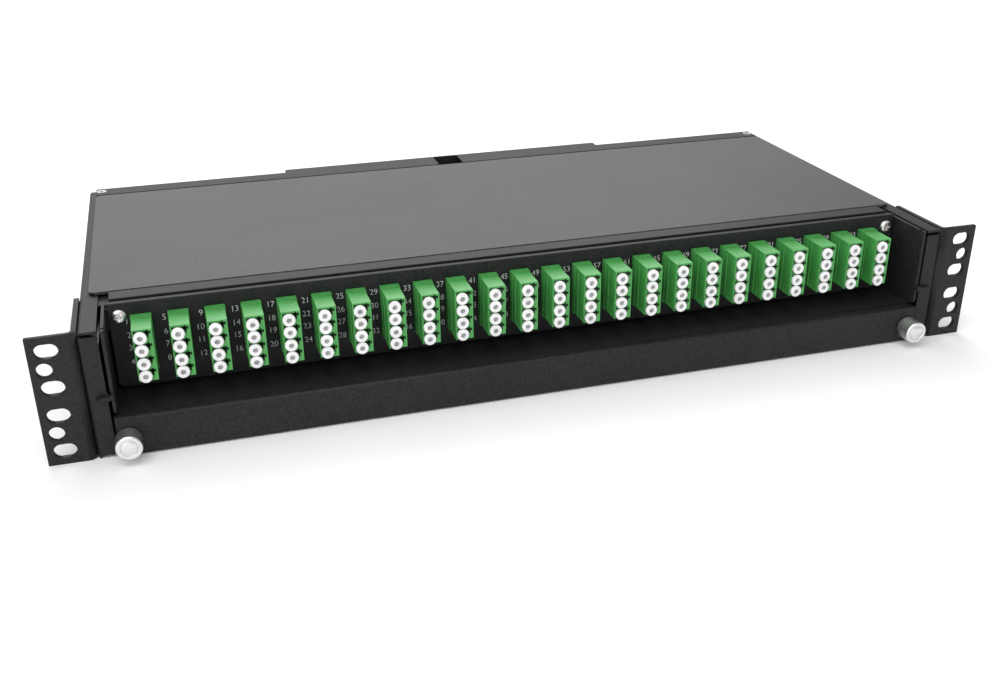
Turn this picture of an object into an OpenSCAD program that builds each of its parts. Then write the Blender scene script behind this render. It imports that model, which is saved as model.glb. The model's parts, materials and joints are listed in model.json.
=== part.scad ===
// Sliding fibre-optic patch panel for a 19-inch rack.
// +X is right, +Y is towards the back, +Z is up. The origin is the middle of the footprint,
// on the ground plane. The sub-parts are drawn with Y measured from the front faces of the
// rack ears, and centred() then moves them to the origin.

/* [Rack ears] */
// Width across both ears
ear_span = 482.6; // [481:0.1:484]
// Height of an ear
ear_h = 63.5; // [62:0.5:66]
// Sheet thickness of an ear
ear_t = 2.4; // [2:0.1:2.5]
// Depth of the side flange that is screwed to the case
ear_depth = 42; // [38:1:50]
// Distance between the left and right rack slots
slot_span = 466; // [464:0.1:466.5]
// End-to-end length of a rack slot
slot_len = 10.2; // [9:0.1:11]
// Width of a rack slot
slot_w = 7; // [6.5:0.1:7]
// Height between the two slots that serve one rack unit
unit_step = 31.75; // [31.75]
// Height of the outer slots above or below the middle of the ear
outer_slot_z = 24.85; // [24:0.05:25.5]
// Distance between the left and right round holes
round_span = 470.4; // [469:0.1:472]

/* [Case] */
// Width over the side walls
case_w = 439.2; // [438:0.2:440]
// Depth from the front flange to the back edge of the side walls
case_d = 210.6; // [205:0.5:220]
// Height to the top of the side returns
case_h = 63.4; // [63:0.1:63.5]
// Sheet thickness of the case
case_t = 1.2; // [1:0.1:1.2]
// Width of the top returns and of the front flanges
return_w = 8.3; // [8:0.1:8.6]
// Thickness of the top cover
cover_t = 1.5; // [1.2:0.1:1.5]
// Width of the top cover
cover_w = 431; // [428:1:432]
// Front edge of the top cover
cover_y = 42.5; // [42:0.5:44]

/* [Drawer] */
// Width of the front lip
lip_w = 420; // [416:0.5:420]
// Height of the front lip
lip_h = 20; // [19:0.5:21]
// Sheet thickness of the drawer
drawer_t = 1.5; // [1.2:0.1:1.5]
// Depth of the drawer behind the ear plane
drawer_d = 190; // [185:1:194]
// Front face of the adapter plate
plate_y = 26; // [26]
// Distance that the drawer slides out
drawer_travel = 100; // [90:1:100]

/* [Adapters] */
// Number of adapters in the row
adapter_count = 24; // [24]
// Distance between neighbouring adapters
adapter_pitch = 16.66; // [15:0.01:16.66]
// Distance from the middle of the case to the middle of the row
adapter_shift = -1.3; // [-1.3:0.1:1.3]
// Width of an adapter
adapter_w = 8.9; // [8.8:0.1:9.2]
// Height of an adapter
adapter_h = 25.8; // [25.6:0.1:26]
// Height of the adapters' middle above the ground plane
adapter_z = 45.3; // [45:0.1:45.5]
// Length of an adapter in front of the plate
adapter_nose = 17.9; // [17:0.1:18.5]
// Diameter of a dust cap's head
cap_d = 6; // [5.8:0.05:6.1]

/* [Slides] */
// Height of a slide rail
rail_h = 27; // [27]
// Height of the rails' middle above the ground plane
rail_z = 42; // [42]
// Length of the rail on the case
rail_len = 190; // [180:1:190]
// Diameter of a slide's ball
ball_d = 2.9; // [2.9]

/* [Thumbscrews] */
// Distance between the two thumbscrews
thumb_span = 410; // [408:0.5:410]
// Height of the thumbscrews above the ground plane
thumb_z = 9.5; // [9.4:0.05:10]
// Diameter of a knob
knob_d = 12.2; // [11:0.1:12.4]
// Length of a knob
knob_len = 9.8; // [9:0.1:10.5]

/* [Hidden] */
$fn = 48;
eps = 0.01;

// Case
case_x = case_w / 2;
wall_x = case_x - case_t;
return_x = case_x - return_w;
bend_r = 1.6;
inner_bend_r = bend_r - case_t + 0.2;
flange_r = 1.2;
flange_z0 = 1.6;
flange_z1 = 60.7;
floor_y0 = 4;
gusset_x = 206;
gusset_y = 199;
top_z = case_h + 0.1;
lid_z = top_z + cover_t;
lock_y = 8;
lock_h = 17;
lock_in = 6.5;
lock_out = 7;
lock_hole_r = 3.2;

// Rear panel
bump_x = 103;
bump_d = 6.1;
rear_flange_y = 198.5;
rear_notch = 15.5;
gland_x = 160;
gland_z = 30;
gland_hole_r = 10.2;
gland_reach = 17.4;
grommet_x = 58;
grommet_z = 32;
grommet_hole_r = 14;
rear_screw_x = 212.5;
rear_screw_y = 205.6;

// Crossbar
bar_x = 206.4;
bar_y0 = 32;
bar_y1 = 41.2;

// Screws
m4_r = 1.95;
m4_head_r = 3.4;
m3_r = 1.45;
m3_head_r = 2.8;
head_h = 1.4;
screw_gap = 0.05;
ear_screw_len = 7;
rear_screw_len = 6;
recess_r = 1.9;
recess_w = 0.8;
recess_depth = 1;
ear_screw_y = [14, 32];
ear_screw_z = [13, 58.6];

// Drawer
side_x0 = 208.3;
side_x1 = side_x0 + drawer_t;
side_front = -0.3;
lip_y = -drawer_t;
lip_z0 = 0.3;
shelf_z = lip_z0 + lip_h;
well_x = 197;
well_y = 29;
well_z = 2.5;
well_t = 1.2;
side_top = 63.2;
side_low = 60;
side_step_y = 30.5;
side_foot_y = 6;
hook_r = 4;
slit_y = [2.2, 3.8];
slit_depth = 1.2;
plate_tab_z = [51, 62];
drawer_rear_h = 20;
lip_hole_r = 2.9;
// Middles and half width of the two cable windows on each side
cable_x = [60, 160];
cable_half = 14;
stop_x = 215.9;
stop_y = -2.6;
stop_z = 30;
stop_t = 1.8;

// Adapter plate
plate_t = 1.5;
plate_x = 207.4;
plate_z0 = 22.2;
plate_top = 64.8;
plate_hem = 3.2;
plate_r = 3;
plate_screw_x = 202.5;
plate_screw_z = 58.5;
plate_tab_x = 198.2;
plate_screw_len = 4.6;
plate_hole_r = 2.2;

// Adapter
nose_y = plate_y - adapter_nose;
collar_d = 4.6;
collar_w = adapter_w + 0.6;
collar_h = adapter_h + 0.8;
neck_w = adapter_w;
neck_h = adapter_h;
cutout_w = adapter_w + 0.2;
cutout_h = adapter_h + 0.2;
tail_y = 41.5;
groove_depth = 0.4;
groove_start = 3;
groove_len = 6.5;
groove_end = 1;
port_x = -1.1;
port_w = 5.2;
port_low = -2.2;
port_high = 3;
// Lowest and highest corner of each piece of the latch's notch, from the port's middle
notch = [[[0, 1.4], [4.9, 2.9]], [[2.5, -0.2], [3.9, 1.5]], [[2.9, 2.8], [3.7, 3.6]]];
port_depth = 9;
sleeve_r = 1.1;
sleeve_in = 3;
ferrule_r = 0.64;
port_pair = 6.25;
port_gap = 12.9;
port_shift = -0.6;
port_z = [for (s = [1, -1], t = [1, -1]) port_shift + s * port_gap / 2 + t * port_pair / 2];
cap_head = 1.7;
cap_edge = 0.5;
dimple_r = 1.25;
dimple_depth = 1.4;
cap_stem = 7;
adapter_x = [for (i = [0 : adapter_count - 1])
    adapter_shift + (i - (adapter_count - 1) / 2) * adapter_pitch];

// Slides
rail_t = 1;
outer_y = 5;
// The drawer's runner is short, so that it stays behind the front flange when the drawer is out
runner_y = drawer_travel + case_t + 2.3;
runner_end = drawer_d + 2;
cage_len = 37.5;
cage_y = runner_y + 0.5;
ball_x = 213.6;
ball_gap = 0.05;
ball_dz = rail_h / 2 - rail_t - ball_gap - ball_d / 2;
ball_step = 9.5;
channel_x = ball_x - 2.2;
channel_lip = 1.7;
lip_t = 0.6;
ball_count = 4;
cage_end = 4.5;

// Splice trays
tray_w = 168;
tray_d = 112;
tray_h = 13;
tray_x = 96;
tray_y = 118;
tray_z = well_z + well_t;
tray_wall = 1.6;
tray_r = 12;
stud_dx = 74;
stud_dy = 46;
tray_stud_r = 1.95;
tray_hole_r = 2.3;
lid_t = 1.6;
guide_x = [28, 100, 172];
guide_y = 50;

// Thumbscrew
thumb_x = thumb_span / 2;
knob_y = lip_y - 0.5;
stud_r = 2.4;
stud_end = 13.2;
groove_y = 6.3;
groove_w = 0.8;
groove_r = 1.7;
clip_r = 4;
ring_r = 3.8;
ring_w = 0.4;

// Ends of the whole panel
front_y = knob_y - knob_len;
back_y = case_d + gland_reach;

black = "#26272a";
grey_black = "#2e3033";
green = "#2fa04c";
white = "#f2f3f1";
nickel = "#c9cbcd";
zinc = "#b9bcc0";
rubber = "#1a1a1b";
tray_grey = "#6d7276";

// ---- shared shapes ----

// Moves a sub-part from the ear plane to the origin
module centred() {
    translate([0, -(front_y + back_y) / 2, 0]) children();
}

// A box from its lowest corner to its highest corner
module block(lo, hi) {
    translate(lo) cube(hi - lo);
}

// A cylinder along +Y from y0 to y1
module rod_y(x, z, r, y0, y1) {
    translate([x, y0, z]) rotate([-90, 0, 0]) cylinder(r = r, h = y1 - y0);
}

// A cylinder along X from x0 to x1
module rod_x(y, z, r, x0, x1) {
    translate([x0, y, z]) rotate([0, 90, 0]) cylinder(r = r, h = x1 - x0);
}

// A cylinder along +Z from z0 to z1, sunk a hair below z0
module rod_up(x, y, r, z0, z1) {
    translate([x, y, z0 - eps]) cylinder(r = r, h = z1 - z0 + eps);
}

// A rectangle with round corners, from its lowest to its highest corner
module round_rect(lo, hi, r) {
    translate([lo.x + r, lo.y]) square([hi.x - lo.x - 2 * r, hi.y - lo.y]);
    translate([lo.x, lo.y + r]) square([hi.x - lo.x, hi.y - lo.y - 2 * r]);
    for (x = [lo.x + r, hi.x - r], y = [lo.y + r, hi.y - r]) translate([x, y]) circle(r = r);
}

// An outline in X and Z, drawn out along +Y from y0 to y1
module extrude_y(y0, y1) {
    translate([0, y1, 0]) rotate([90, 0, 0]) linear_extrude(height = y1 - y0) children();
}

// Children on the right and mirrored on the left
module both_sides() {
    children();
    mirror([1, 0, 0]) children();
}

// Children on the right side, or mirrored for the left side
module on_side(side) {
    if (side > 0) children();
    else mirror([1, 0, 0]) children();
}

// ---- case ----

module case_profile() {
    difference() {
        round_rect([-case_x, 0], [case_x, case_h], bend_r);
        round_rect([-wall_x, case_t], [wall_x, case_h - case_t], inner_bend_r);
        translate([-return_x, case_h / 2]) square([2 * return_x, case_h]);
    }
}

module front_flange() {
    extrude_y(0, case_t) round_rect([return_x, flange_z0], [case_x, flange_z1], flange_r);
}

module front_corner_cut() {
    difference() {
        block([case_x - bend_r, -1, -1], [case_x + 1, bend_r, flange_z1]);
        translate([case_x - bend_r, bend_r, -2]) cylinder(r = bend_r, h = case_h);
    }
}

module lock_tab() {
    difference() {
        block([thumb_x - lock_in, lock_y, case_t - eps], [thumb_x + lock_out, lock_y + case_t, lock_h]);
        rod_y(thumb_x, thumb_z, lock_hole_r, lock_y - 1, lock_y + case_t + 1);
    }
}

module case_shell() {
    color(black) centred() difference() {
        union() {
            difference() {
                extrude_y(0, case_d) case_profile();
                block([-wall_x, -1, -1], [wall_x, floor_y0, case_t + 1]);
                both_sides() block([return_x - 1, -1, flange_z1], [case_x + 1, case_t + 1, case_h - case_t]);
            }
            both_sides() {
                front_flange();
                lock_tab();
                block([gusset_x, gusset_y, case_h - case_t], [wall_x, case_d - case_t, case_h]);
            }
        }
        both_sides() {
            front_corner_cut();
            for (y = ear_screw_y, z = ear_screw_z) rod_x(y, z, m4_r + screw_gap, wall_x - 1, case_x + 1);
            translate([rear_screw_x, rear_screw_y, case_h - 3]) cylinder(r = m3_r + screw_gap, h = 6);
        }
    }
}

module front_crossbar() {
    lip = 4.2;
    foot_y = bar_y0 + 0.5;
    foot_z = case_h - 2 * case_t;
    foot_reach = 4;
    color(black) centred() {
        block([-bar_x, bar_y0, top_z], [bar_x, bar_y1, lid_z]);
        block([-bar_x + 1, bar_y0, lid_z - lip], [bar_x - 1, bar_y0 + case_t, top_z + eps]);
        both_sides() {
            block([bar_x - case_t, foot_y, foot_z], [bar_x, bar_y1 - 0.7, lid_z - eps]);
            block([bar_x - case_t, foot_y, foot_z],
                  [return_x + foot_reach, bar_y1 + foot_reach, case_h - case_t]);
        }
    }
}

module top_cover() {
    hem_x = 150;
    hem_z = top_z - 2.6;
    back = rear_flange_y - 1.5;
    corner_r = 3;
    color(grey_black) centred() {
        translate([0, 0, top_z]) linear_extrude(height = cover_t)
            round_rect([-cover_w / 2, cover_y], [cover_w / 2, back], corner_r);
        for (y = [cover_y, back - case_t])
            block([-hem_x, y, hem_z], [hem_x, y + case_t, top_z + eps]);
    }
}

module rear_hole(x, z, r) {
    rod_y(x, z, r, case_d - 4, case_d + bump_d + 2);
}

module rear_panel() {
    flange_x = 215.5;
    y1 = case_d;
    y2 = case_d + bump_d;
    z0 = case_t;
    color(black) centred() difference() {
        union() {
            both_sides() {
                block([bump_x - case_t, y1 - case_t, z0], [wall_x, y1, lid_z]);
                block([bump_x - case_t, y1 - case_t, z0], [bump_x, y2, lid_z]);
                block([wall_x - case_t, gusset_y + 1, z0 + 0.8], [wall_x, y1, case_h - case_t - 0.8]);
            }
            block([-bump_x, y2 - case_t, 0], [bump_x, y2, lid_z]);
            block([-bump_x, y1, 0], [bump_x, y2, case_t]);
            block([-flange_x, rear_flange_y, top_z], [flange_x, y1, lid_z]);
            block([-bump_x, rear_flange_y, top_z], [bump_x, y2, lid_z]);
        }
        both_sides() {
            block([return_x - 0.1, y1 - 2 * case_t, case_h - case_t], [wall_x + 1, y1 + 1, top_z]);
            block([flange_x, y1 - 2 * case_t, case_h], [wall_x + 1, y1 + 1, lid_z + 1]);
            rear_hole(gland_x, gland_z, gland_hole_r);
            rear_hole(grommet_x, grommet_z, grommet_hole_r);
            translate([rear_screw_x, rear_screw_y, top_z]) {
                translate([0, 0, -1]) cylinder(r = m3_r + screw_gap, h = 3);
                translate([0, 0, cover_t - head_h]) cylinder(r1 = m3_r, r2 = m3_head_r, h = head_h + eps);
            }
        }
        block([-rear_notch / 2, rear_flange_y - 1, top_z - eps],
              [rear_notch / 2, y2 - case_t, lid_z + 1]);
    }
}

// A countersunk screw of radius r pointing along -Z, with its flat head at the origin
module countersunk_screw(r, head_r, len) {
    difference() {
        union() {
            translate([0, 0, -head_h]) cylinder(r1 = r, r2 = head_r - screw_gap, h = head_h);
            translate([0, 0, -len]) cylinder(r = r, h = len - head_h + eps);
        }
        cross_recess();
    }
}

module cross_recess() {
    for (a = [0, 90]) rotate([0, 0, a]) translate([-recess_r, -recess_w / 2, -recess_depth])
        cube([2 * recess_r, recess_w, 2 * recess_depth]);
}

module case_screws() {
    color(zinc) centred() both_sides() {
        for (y = ear_screw_y, z = ear_screw_z)
            translate([case_x + 0.1 + ear_t, y, z]) rotate([0, 90, 0])
                countersunk_screw(m4_r, m4_head_r, ear_screw_len);
        translate([rear_screw_x, rear_screw_y, lid_z]) countersunk_screw(m3_r, m3_head_r, rear_screw_len);
    }
}

// ---- rack ears ----

module ear_outline() {
    r = 4;
    x0 = case_x + 0.1;
    translate([x0 + r, 0]) square([ear_span / 2 - x0 - r, ear_t]);
    translate([x0, r]) square([ear_t, ear_depth - r]);
    translate([x0 + r, r]) difference() {
        circle(r = r);
        circle(r = r - ear_t);
        translate([0, -r - 1]) square([r + 1, 2 * r + 2]);
        translate([-r - 1, 0]) square([2 * r + 2, r + 1]);
    }
}

module ear_slot(x, z) {
    half = (slot_len - slot_w) / 2;
    for (dx = [-half, half]) rod_y(x + dx, z, slot_w / 2, -1, ear_t + 1);
    block([x - half, -1, z - slot_w / 2], [x + half, ear_t + 1, z + slot_w / 2]);
}

module ear() {
    mid = ear_h / 2;
    inner = unit_step - outer_slot_z;
    color(black) centred() difference() {
        linear_extrude(height = ear_h) ear_outline();
        for (dz = [outer_slot_z, inner, -inner, -outer_slot_z]) ear_slot(slot_span / 2, mid + dz);
        for (dz = [-1, 1]) rod_y(round_span / 2, mid + dz * unit_step / 2, slot_w / 2, -1, ear_t + 1);
        for (y = ear_screw_y, z = ear_screw_z) {
            rod_x(y, z, m4_r + screw_gap, case_x - 1, case_x + ear_t + 1);
            translate([case_x + 0.1 + ear_t - head_h, y, z]) rotate([0, 90, 0])
                cylinder(r1 = m4_r, r2 = m4_head_r, h = head_h + eps);
        }
    }
}

module ear_left() {
    on_side(-1) ear();
}

module ear_right() {
    on_side(1) ear();
}

// ---- cable entries ----

module hexagon_y(x, z, flats, y0, y1) {
    translate([x, y0, z]) rotate([-90, 0, 0]) cylinder(r = flats / sqrt(3), h = y1 - y0, $fn = 6);
}

module gland_bodies() {
    color(rubber) centred() both_sides() difference() {
        union() {
            rod_y(gland_x, gland_z, 10, case_d - 6.4, case_d + eps);
            hexagon_y(gland_x, gland_z, 24, case_d, case_d + 4.4);
            rod_y(gland_x, gland_z, 9.5, case_d + 4.4 - eps, case_d + 13);
        }
        rod_y(gland_x, gland_z, 6.2, case_d - 7, case_d + 14);
        rod_y(gland_x, gland_z, 7.5, case_d + 5, case_d + 14);
    }
}

module gland_seals() {
    color("#555a5e") centred() both_sides() difference() {
        rod_y(gland_x, gland_z, 7.45, case_d + 5.1, case_d + 14.2);
        rod_y(gland_x, gland_z, 5.5, case_d + 5, case_d + 15);
    }
}

module gland_nuts() {
    y0 = case_d + 4.7;
    y1 = case_d + gland_reach - 3;
    color(rubber) centred() both_sides() difference() {
        union() {
            hexagon_y(gland_x, gland_z, 23, y0, y0 + 6);
            rod_y(gland_x, gland_z, 11.2, y0 + 6 - eps, y1 - 1);
            translate([gland_x, y1 - 1, gland_z]) rotate([-90, 0, 0]) cylinder(r1 = 11.2, r2 = 8, h = 4);
        }
        rod_y(gland_x, gland_z, 9.55, y0 - 1, y1);
        rod_y(gland_x, gland_z, 6, y1 - 1, y1 + 5);
    }
}

module gland_locknuts() {
    color(rubber) centred() both_sides() difference() {
        hexagon_y(gland_x, gland_z, 24, case_d - case_t - 4, case_d - case_t);
        rod_y(gland_x, gland_z, 10.05, case_d - 9, case_d);
    }
}

module cable_grommets() {
    wall = case_d + bump_d - case_t;
    color(rubber) centred() both_sides() difference() {
        union() {
            rod_y(grommet_x, grommet_z, 16.5, wall - 2, wall - 0.02);
            rod_y(grommet_x, grommet_z, 13.95, wall - 0.1, wall + case_t + 0.1);
            rod_y(grommet_x, grommet_z, 16.5, wall + case_t + 0.02, wall + case_t + 2);
        }
        rod_y(grommet_x, grommet_z, 10, wall - 3, wall);
        rod_y(grommet_x, grommet_z, 10, wall + 1, wall + case_t + 3);
    }
}

// ---- ball slides ----

module slide_outer() {
    z0 = rail_z - rail_h / 2;
    z1 = rail_z + rail_h / 2;
    y1 = outer_y + rail_len;
    color(zinc) centred() {
        block([wall_x - rail_t, outer_y, z0], [wall_x, y1, z1]);
        for (z = [z0, z1 - rail_t]) block([channel_x, outer_y, z], [wall_x, y1, z + rail_t]);
        for (z = [z0, z1 - channel_lip])
            block([channel_x, outer_y, z], [channel_x + lip_t, y1, z + channel_lip]);
    }
}

module slide_inner() {
    half = ball_dz - ball_d / 2 - ball_gap;
    color(zinc) centred() {
        block([side_x1, runner_y, rail_z - half], [side_x1 + rail_t, runner_end, rail_z + half]);
        for (z = [rail_z - half, rail_z + half - rail_t])
            block([side_x1, runner_y, z], [ball_x + 1.6, runner_end, z + rail_t]);
    }
}

module ball_places() {
    for (i = [0 : ball_count - 1], s = [-1, 1])
        translate([ball_x, cage_y + cage_end + i * ball_step, rail_z + s * ball_dz]) children();
}

module ball_cage() {
    web_x = ball_x + 2.2;
    y1 = cage_y + cage_len;
    t = 0.6;
    color(nickel) centred() difference() {
        translate([0, 0, rail_z]) {
            block([web_x, cage_y, -ball_dz - t / 2], [web_x + t, y1, ball_dz + t / 2]);
            for (z = [-ball_dz, ball_dz]) block([channel_x, cage_y, z - t / 2], [web_x + t, y1, z + t / 2]);
        }
        ball_places() cylinder(r = ball_d / 2 + ball_gap, h = 3, center = true);
    }
}

module slide_balls() {
    color(nickel) centred() ball_places() sphere(d = ball_d);
}

module slide_outer_left() {
    on_side(-1) slide_outer();
}

module slide_outer_right() {
    on_side(1) slide_outer();
}

module slide_inner_left() {
    on_side(-1) slide_inner();
}

module slide_inner_right() {
    on_side(1) slide_inner();
}

module ball_cage_left() {
    on_side(-1) ball_cage();
}

module ball_cage_right() {
    on_side(1) ball_cage();
}

module slide_balls_left() {
    on_side(-1) slide_balls();
}

module slide_balls_right() {
    on_side(1) slide_balls();
}

// ---- drawer ----

// The tab that rests on the front flange when the drawer is shut
module stop_tab() {
    translate([0, 0, stop_z]) linear_extrude(height = stop_t)
        round_rect([side_x0, stop_y], [stop_x, -0.1], 1.2);
    block([side_x0, stop_y, stop_z], [side_x1, side_front + 2, stop_z + stop_t + 0.8]);
}

module drawer_side() {
    difference() {
        block([side_x0, side_front, shelf_z - drawer_t], [side_x1, drawer_d, side_top]);
        block([side_x0 - 1, side_step_y, side_low], [side_x1 + 1, drawer_d + 1, side_top + 1]);
        block([side_x0 - 1, side_front - 1, shelf_z - 2 * drawer_t], [side_x1 + 1, side_foot_y, shelf_z + 0.7]);
        block([side_x0 - 1, slit_y[0], side_top - slit_depth], [side_x1 + 1, slit_y[1], side_top + 1]);
        difference() {
            block([side_x0 - 1, side_front - 1, shelf_z],
                  [side_x1 + 1, side_front + hook_r, shelf_z + hook_r + 0.7]);
            rod_x(side_front + hook_r, shelf_z + hook_r + 0.7, hook_r, side_x0 - 2, side_x1 + 2);
        }
    }
    stop_tab();
    difference() {
        block([plate_tab_x, plate_y + plate_t, plate_tab_z[0]],
              [side_x0 + eps, plate_y + 2 * plate_t, plate_tab_z[1]]);
        rod_y(plate_screw_x, plate_screw_z, m4_r + screw_gap, plate_y, plate_y + 5);
    }
}

module lip_outline() {
    difference() {
        round_rect([lip_y, lip_z0], [well_y + well_t, shelf_z], 1.4);
        translate([0, lip_z0 - 1]) square([well_y + well_t + 1, shelf_z - drawer_t - lip_z0 + 1]);
    }
}

// A small arch on the drawer's floor that takes a cable tie
module tie_bridge(x, y) {
    half = 7;
    depth = 5;
    top = tray_z + 3.4;
    difference() {
        block([x - half, y, tray_z - eps], [x + half, y + depth, top]);
        block([x - half + well_t, y - 1, tray_z - 1], [x + half - well_t, y + depth + 1, top - well_t]);
    }
}

module drawer_tray() {
    color(black) centred() difference() {
        union() {
            rotate([90, 0, 90]) translate([0, 0, -lip_w / 2]) linear_extrude(height = lip_w) lip_outline();
            both_sides() {
                drawer_side();
                block([well_x - well_t, well_y, shelf_z - drawer_t], [side_x1, drawer_d, shelf_z]);
                block([well_x - well_t, well_y, well_z], [well_x, drawer_d, shelf_z - eps]);
                for (dx = [-1, 1], dy = [-1, 1])
                    rod_up(tray_x + dx * stud_dx, tray_y + dy * stud_dy, tray_stud_r, tray_z, tray_z + tray_h + 8);
                for (x = cable_x) tie_bridge(x, drawer_d - 10);
            }
            block([-well_x, well_y, well_z], [well_x, drawer_d, well_z + well_t]);
            block([-well_x, well_y, well_z], [well_x, well_y + well_t, shelf_z]);
            block([-well_x, drawer_d - well_t, well_z], [well_x, drawer_d, drawer_rear_h]);
        }
        both_sides() {
            rod_y(thumb_x, thumb_z, lip_hole_r, lip_y - 1, 1);
            for (x = cable_x)
                block([x - cable_half, drawer_d - 3, tray_z + 5],
                      [x + cable_half, drawer_d + 1, drawer_rear_h + 1]);
        }
    }
}

module adapter_plate() {
    color(black) centred() difference() {
        union() {
            extrude_y(plate_y, plate_y + plate_t)
                round_rect([-plate_x, plate_z0], [plate_x, plate_top + plate_r], plate_r);
            block([-plate_x, plate_y, plate_top - plate_t], [plate_x, plate_y + plate_hem, plate_top]);
        }
        block([-plate_x - 1, plate_y - 1, plate_top], [plate_x + 1, plate_y + 5, plate_top + 5]);
        for (x = adapter_x)
            block([x - cutout_w / 2, plate_y - 1, adapter_z - cutout_h / 2],
                  [x + cutout_w / 2, plate_y + plate_t + 1, adapter_z + cutout_h / 2]);
        both_sides() rod_y(plate_screw_x, plate_screw_z, plate_hole_r, plate_y - 1, plate_y + 3);
    }
}

module pan_screw() {
    head = 2.2;
    head_r = 3.5;
    top_r = 2.2;
    translate([plate_screw_x, plate_y, plate_screw_z]) rotate([90, 0, 0]) difference() {
        union() {
            cylinder(r = head_r, h = head / 2);
            translate([0, 0, head / 2]) cylinder(r1 = head_r, r2 = top_r, h = head / 2);
            translate([0, 0, -plate_screw_len]) cylinder(r = m4_r, h = plate_screw_len + eps);
        }
        translate([0, 0, head]) cross_recess();
    }
}

module plate_screws() {
    color(nickel) centred() both_sides() pan_screw();
}

// ---- adapters ----

module adapter_body() {
    module section(w, h, y0, y1) {
        block([-w / 2, y0, -h / 2], [w / 2, y1, h / 2]);
    }
    section(adapter_w, adapter_h, nose_y, plate_y - collar_d + eps);
    section(collar_w, collar_h, plate_y - collar_d, plate_y);
    section(neck_w, neck_h, plate_y - eps, tail_y);
}

// The shallow recess in each side of the nose
module side_groove() {
    y0 = nose_y + groove_start;
    block([adapter_w / 2 - groove_depth, y0, -adapter_h / 2 + groove_end],
          [adapter_w / 2 + 1, y0 + groove_len, adapter_h / 2 - groove_end]);
}

// A port with the cross-shaped notch for the latch of its plug
module port(z, y0, y1) {
    block([port_x - port_w / 2, y0, z + port_low], [port_x + port_w / 2, y1, z + port_high]);
    for (n = notch) block([port_x + n[0].x, y0, z + n[0].y], [port_x + n[1].x, y1, z + n[1].y]);
}

module adapter(i) {
    color(green) centred() translate([adapter_x[i], 0, adapter_z]) difference() {
        union() {
            difference() {
                adapter_body();
                both_sides() side_groove();
                for (z = port_z) {
                    port(z, nose_y - 1, nose_y + port_depth);
                    port(z, tail_y - port_depth, tail_y + 1);
                }
            }
            for (z = port_z) rod_y(port_x, z, sleeve_r, nose_y + sleeve_in, tail_y - sleeve_in);
        }
        for (z = port_z) rod_y(port_x, z, ferrule_r, nose_y, tail_y);
    }
}

// A dust cap pointing along +Y, with its seat at y = 0 and its head in front
module dust_cap() {
    r = cap_d / 2;
    stem_r = 2.1;
    bore_r = 1.35;
    bore_from = 1;
    rotate([-90, 0, 0]) rotate_extrude() difference() {
        union() {
            translate([0, -cap_head + cap_edge]) square([r, cap_head - cap_edge]);
            translate([0, -cap_head]) square([r - cap_edge, cap_head]);
            translate([r - cap_edge, -cap_head + cap_edge]) circle(r = cap_edge);
            square([stem_r, cap_stem]);
        }
        translate([-r, -cap_head - 1]) square([r, cap_head + cap_stem + 2]);
        translate([0, -cap_head - 1]) square([dimple_r, dimple_depth + 1]);
        translate([0, bore_from]) square([bore_r, cap_stem]);
    }
}

module dust_caps_front() {
    color(white) centred() for (x = adapter_x, z = port_z)
        translate([x + port_x, nose_y - 0.02, adapter_z + z]) dust_cap();
}

module dust_caps_rear() {
    color(white) centred() for (x = adapter_x, z = port_z)
        translate([x + port_x, tail_y + 0.02, adapter_z + z]) mirror([0, 1, 0]) dust_cap();
}

module adapter_clips() {
    t = 0.4;
    y0 = plate_y + plate_t + 0.1;
    color(zinc) centred() for (x = adapter_x) translate([x, 0, adapter_z]) difference() {
        block([-neck_w / 2 - t, y0, -neck_h / 2 - 1], [neck_w / 2 + t, y0 + 5, neck_h / 2 + t]);
        block([-neck_w / 2, y0 - 1, -neck_h / 2 - 2], [neck_w / 2, y0 + 6, neck_h / 2]);
    }
}

// ---- splice trays and fibre guides ----

module tray_frame(z0, z1, r, w, d) {
    translate([tray_x, tray_y, z0]) linear_extrude(height = z1 - z0)
        round_rect([-w / 2, -d / 2], [w / 2, d / 2], r);
}

module stud_holes() {
    for (dx = [-1, 1], dy = [-1, 1])
        rod_up(tray_x + dx * stud_dx, tray_y + dy * stud_dy, tray_hole_r, tray_z - 1, tray_z + 3 * tray_h);
}

module spool(x, y) {
    translate([x, y, tray_z + tray_wall - eps]) difference() {
        cylinder(r = 22, h = 7);
        translate([0, 0, -1]) cylinder(r = 20.6, h = 9);
        for (a = [45 : 90 : 315]) rotate([0, 0, a]) translate([18, -3, -1]) cube([6, 6, 9]);
    }
}

module splice_tray() {
    rows = 12;
    comb = 4;
    color(tray_grey) centred() difference() {
        union() {
            difference() {
                tray_frame(tray_z, tray_z + tray_h, tray_r, tray_w, tray_d);
                tray_frame(tray_z + tray_wall, tray_z + tray_h + 1, tray_r - tray_wall,
                           tray_w - 2 * tray_wall, tray_d - 2 * tray_wall);
                for (sx = [-1, 1])
                    block([tray_x + sx * 52 - 9, tray_y - tray_d / 2 - 1, tray_z + 4],
                          [tray_x + sx * 52 + 9, tray_y - tray_d / 2 + 3, tray_z + tray_h + 1]);
            }
            spool(tray_x - 48, tray_y + 8);
            spool(tray_x + 48, tray_y + 8);
            for (i = [0 : rows])
                block([tray_x - 22, tray_y - 28 + i * comb, tray_z + tray_wall - eps],
                      [tray_x + 22, tray_y - 27 + i * comb, tray_z + 7]);
            for (dx = [-1, 1], dy = [-1, 1])
                rod_up(tray_x + dx * stud_dx, tray_y + dy * stud_dy, 4, tray_z + tray_wall, tray_z + tray_h);
        }
        stud_holes();
    }
}

module splice_tray_left() {
    on_side(-1) splice_tray();
}

module splice_tray_right() {
    on_side(1) splice_tray();
}

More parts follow.
